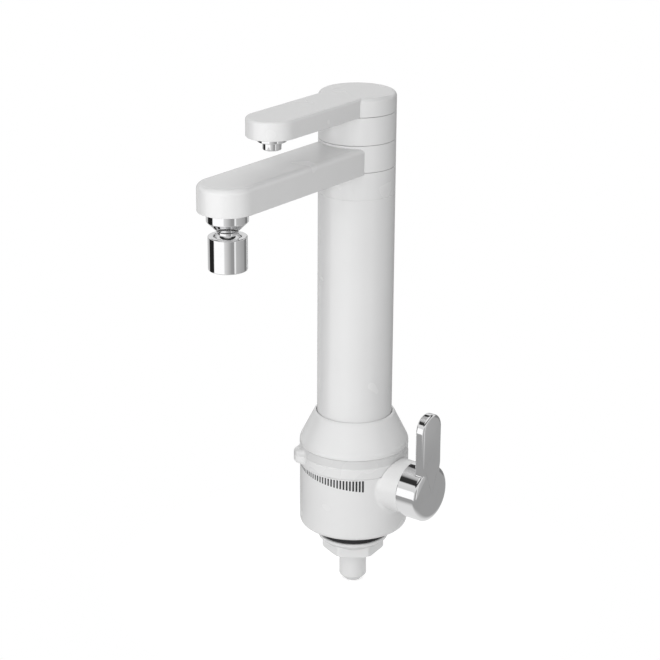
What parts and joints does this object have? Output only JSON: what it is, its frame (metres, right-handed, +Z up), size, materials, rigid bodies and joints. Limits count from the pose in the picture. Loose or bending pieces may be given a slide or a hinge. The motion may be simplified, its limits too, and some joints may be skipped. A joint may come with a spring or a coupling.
{
  "type": "water purifier tap",
  "caption": "White countertop filter tap: round body with flow ring, cone collar, tall column, long and short flat swivel spouts, chrome aerator, nozzle and side lever.",
  "frame": {"origin": "on the column axis, in the plane of the worktop under the deck seal", "axes": "+Z up along the column, -Y along both spouts, +X along the valve towards the lever"},
  "size_m": [0.1137, 0.2092, 0.3871],
  "materials": {
    "white_body": "white satin-gloss moulding",
    "grey_ring": "white ring with a greyer satin band",
    "black_rubber": "matt black",
    "chrome": "polished chrome plate",
    "brass": "turned",
    "steel": "turned stainless steel",
    "ceramic": "lapped white ceramic",
    "white_inner": "natural white moulding",
    "grey_inner": "light grey moulding",
    "carbon": "sintered black carbon",
    "filter_cloth": "pleated non-woven"
  },
  "bodies": {
    "root": {"inlet_stub": "white_body", "deck_nut": "white_body", "deck_seal": "black_rubber", "lower_body": "white_body", "manifold": "grey_inner", "manifold_o_ring": "black_rubber", "column_o_ring": "black_rubber", "collar": "white_body", "column_tube": "white_body", "cartridge_foot": "white_inner", "cartridge_shell": "white_inner", "cartridge_head": "white_inner", "carbon_block": "carbon", "pleated_wrap": "filter_cloth", "core_tube": "white_inner", "cartridge_o_rings": "black_rubber", "swivel_post": "grey_inner", "post_o_ring": "black_rubber", "lower_spacer": "white_body", "main_o_rings": "black_rubber", "upper_spacer": "white_body", "upper_o_ring": "black_rubber", "valve_seat_gasket": "black_rubber", "fixed_disc": "ceramic", "valve_sleeve": "brass", "valve_o_ring": "black_rubber", "gland_nut": "brass"},
    "flow_ring": {"flow_ring": "grey_ring", "drive_pin": "steel", "flow_plate": "grey_inner"},
    "lever": {"lever_handle": "chrome", "valve_spindle": "brass", "moving_disc": "ceramic", "lever_screw": "steel"},
    "main_spout": {"main_spout": "white_body", "adapter_washer": "black_rubber", "aerator_adapter": "chrome"},
    "upper_spout": {"upper_spout": "white_body", "spout_screw": "steel", "outlet_nozzle": "chrome", "nozzle_vanes": "white_inner"},
    "aerator_seat": {"ball_seat": "white_inner"},
    "aerator_clamp": {"ball_clamp": "white_inner"},
    "aerator_barrel": {"aerator_barrel": "chrome", "aerator_cartridge": "grey_inner"}
  },
  "joints": [
    {"name": "lever_turn", "type": "hinge", "parent": "root", "child": "lever", "pos_m": [0, 0, 0.05], "axis": [1, 0, 0], "range_deg": [-90, 90]},
    {"name": "flow_ring_turn", "type": "hinge", "parent": "root", "child": "flow_ring", "pos_m": [0, 0, 0.068], "axis": [0, 0, 1], "range_deg": [0, 82]},
    {"name": "main_swivel", "type": "hinge", "parent": "root", "child": "main_spout", "pos_m": [0, 0, 0.3028], "axis": [0, 0, 1], "continuous": true},
    {"name": "upper_swivel", "type": "hinge", "parent": "root", "child": "upper_spout", "pos_m": [0, 0, 0.34], "axis": [0, 0, 1], "continuous": true},
    {"name": "aerator_tilt_x", "type": "hinge", "parent": "main_spout", "child": "aerator_seat", "pos_m": [0, -0.147, 0.2689], "axis": [1, 0, 0], "range_deg": [-10, 10]},
    {"name": "aerator_tilt_y", "type": "hinge", "parent": "aerator_seat", "child": "aerator_clamp", "pos_m": [0, -0.147, 0.2689], "axis": [0, 1, 0], "range_deg": [-10, 10]},
    {"name": "aerator_spin", "type": "hinge", "parent": "aerator_clamp", "child": "aerator_barrel", "pos_m": [0, -0.147, 0.262], "axis": [0, 0, 1], "continuous": true}
  ]
}
